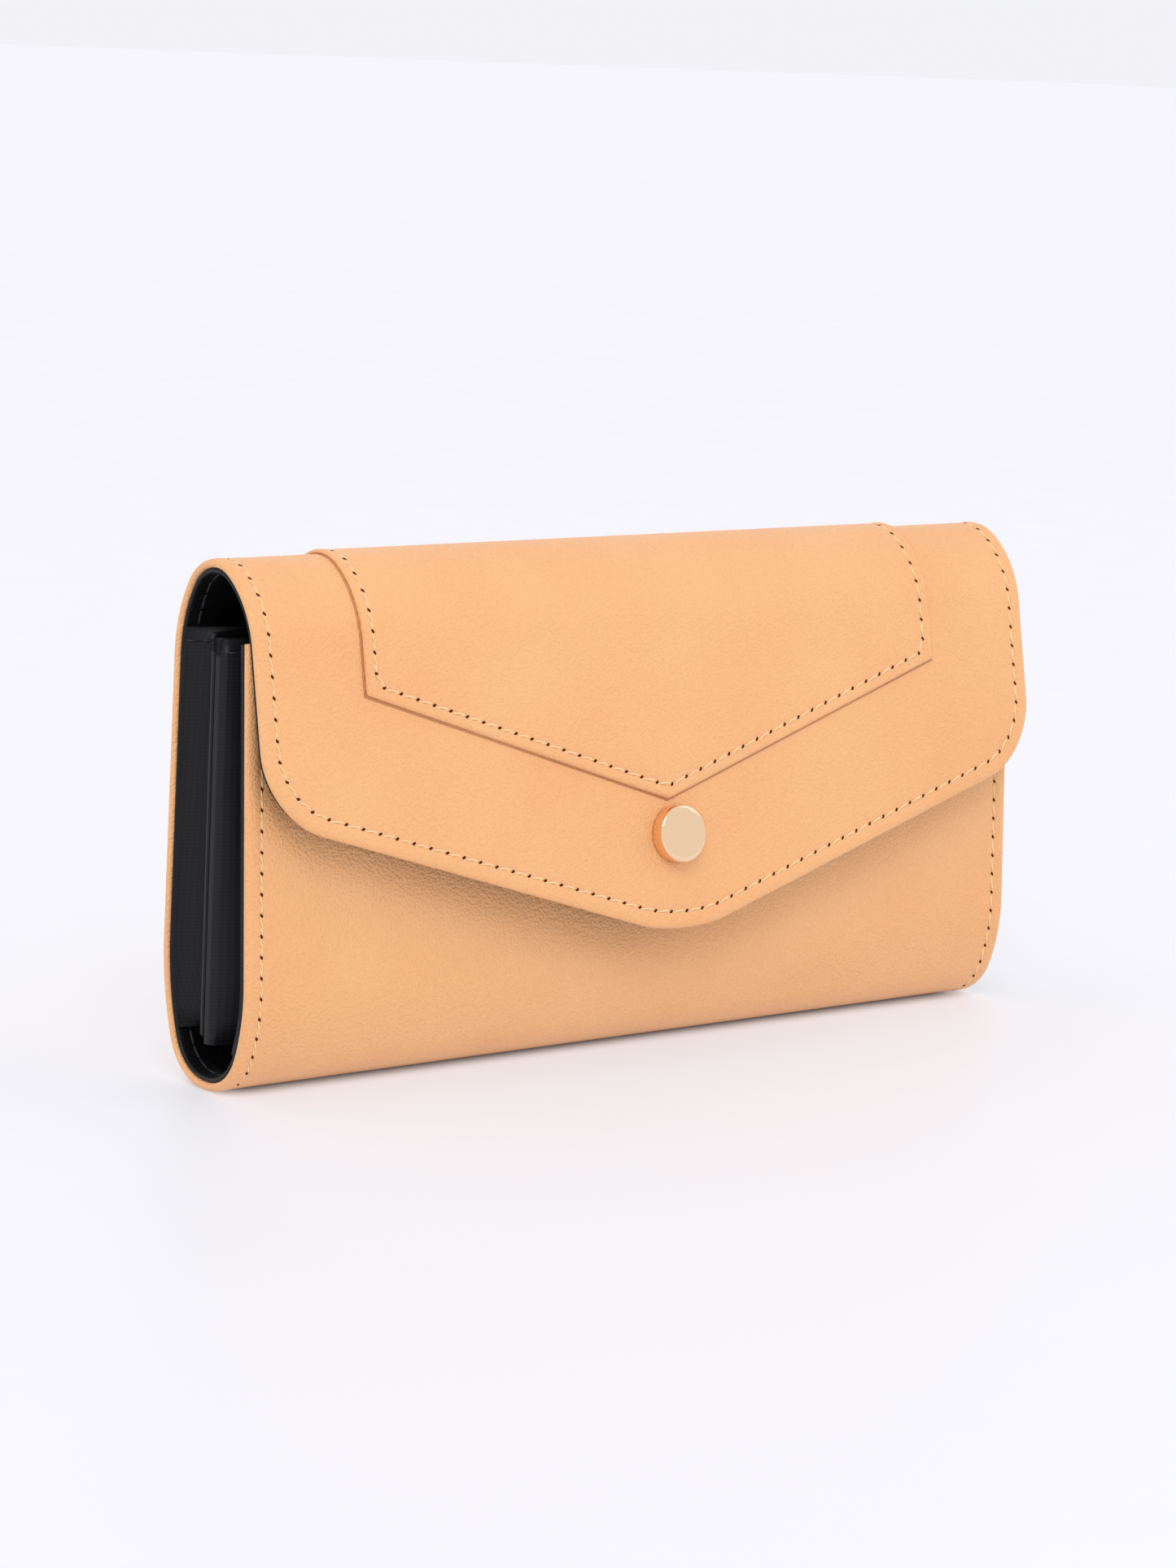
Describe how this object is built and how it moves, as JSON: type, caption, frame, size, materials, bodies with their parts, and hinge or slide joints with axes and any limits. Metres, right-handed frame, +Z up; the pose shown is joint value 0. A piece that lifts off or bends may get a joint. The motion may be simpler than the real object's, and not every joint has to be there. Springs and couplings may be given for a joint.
{
  "type": "long wallet",
  "caption": "Long envelope wallet: a stitched leather shell with a pointed snap flap, accordion gussets, card slots and a zipped coin pocket.",
  "frame": {"origin": "middle of the wallet's length on the flat strip that it stands on", "axes": "+X along the wallet's length, to the right seen from the front; -Y out of the front; +Z up"},
  "size_m": [0.195, 0.0414, 0.1028],
  "materials": {
    "shell_leather": "satin",
    "overlay_leather": "satin",
    "shell_lining": "satin",
    "board": "matte",
    "snap_metal": "polished",
    "gusset_cloth": "satin",
    "pocket_cloth": "matte",
    "card_cloth": "satin",
    "zip_tape": "matte",
    "zip_coil": "semi-gloss",
    "zip_metal": "polished"
  },
  "bodies": {
    "back": {"back_leather": "shell_leather", "back_board": "board", "bottom_leather": "shell_leather", "back_lining": "shell_lining", "bottom_lining": "shell_lining", "back_overlay": "overlay_leather", "back_card_backing": "card_cloth", "back_card_tier_1": "card_cloth", "back_card_tier_2": "card_cloth", "back_card_tier_3": "card_cloth", "back_card_tier_4": "card_cloth", "left_front_gusset": "gusset_cloth", "left_rear_gusset": "gusset_cloth", "right_front_gusset": "gusset_cloth", "right_rear_gusset": "gusset_cloth"},
    "crown": {"crown_leather": "shell_leather", "crown_lining": "shell_lining", "crown_overlay": "overlay_leather"},
    "flap": {"flap_leather": "shell_leather", "flap_board": "board", "flap_lining": "shell_lining", "flap_overlay": "overlay_leather", "snap_cap": "snap_metal", "snap_socket": "snap_metal", "snap_spring": "snap_metal"},
    "front": {"front_leather": "shell_leather", "front_board": "board", "front_lining": "shell_lining", "snap_stud": "snap_metal", "snap_rivet": "snap_metal", "front_card_backing": "card_cloth", "front_card_tier_1": "card_cloth", "front_card_tier_2": "card_cloth", "front_card_tier_3": "card_cloth", "front_card_tier_4": "card_cloth"},
    "coin_pocket": {"coin_front_wall": "pocket_cloth", "coin_lining": "pocket_cloth", "coin_rear_wall": "pocket_cloth", "zip_rear_tape": "zip_tape", "zip_front_tape": "zip_tape", "zip_rear_coil": "zip_coil", "zip_front_coil": "zip_coil", "zip_end_stops": "zip_metal"},
    "slider": {"zip_slider": "zip_metal"},
    "puller": {"zip_puller": "zip_metal"}
  },
  "joints": [
    {"name": "flap_fold_rear", "type": "hinge", "parent": "back", "child": "crown", "pos_m": [0, 0.00933, 0.09769], "axis": [-1, 0, 0], "range_deg": [0, 90]},
    {"name": "flap_fold_front", "type": "hinge", "parent": "crown", "child": "flap", "pos_m": [0, -0.01027, 0.09778], "axis": [-1, 0, 0], "range_deg": [0, 90]},
    {"name": "mouth_open", "type": "hinge", "parent": "back", "child": "front", "pos_m": [0, -0.00978, 0.00187], "axis": [1, 0, 0], "range_deg": [0, 18], "deforming": ["left_front_gusset", "left_rear_gusset", "right_front_gusset", "right_rear_gusset"]},
    {"name": "pocket_swing", "type": "hinge", "parent": "back", "child": "coin_pocket", "pos_m": [0, -0.00978, 0.00187], "axis": [1, 0, 0], "range_deg": [0, 9]},
    {"name": "zip_slide", "type": "slide", "parent": "coin_pocket", "child": "slider", "axis": [1, 0, 0], "range_m": [0, 0.136]},
    {"name": "puller_swing", "type": "hinge", "parent": "slider", "child": "puller", "pos_m": [-0.0709, -0.0004, 0.08345], "axis": [0, -1, 0], "range_deg": [0, 175]}
  ],
  "couplings": [
    {"joint": "flap_fold_front", "follows": "flap_fold_rear", "ratio": 1},
    {"joint": "mouth_open", "follows": "flap_fold_rear", "ratio": 0.2},
    {"joint": "pocket_swing", "follows": "flap_fold_rear", "ratio": 0.1}
  ]
}
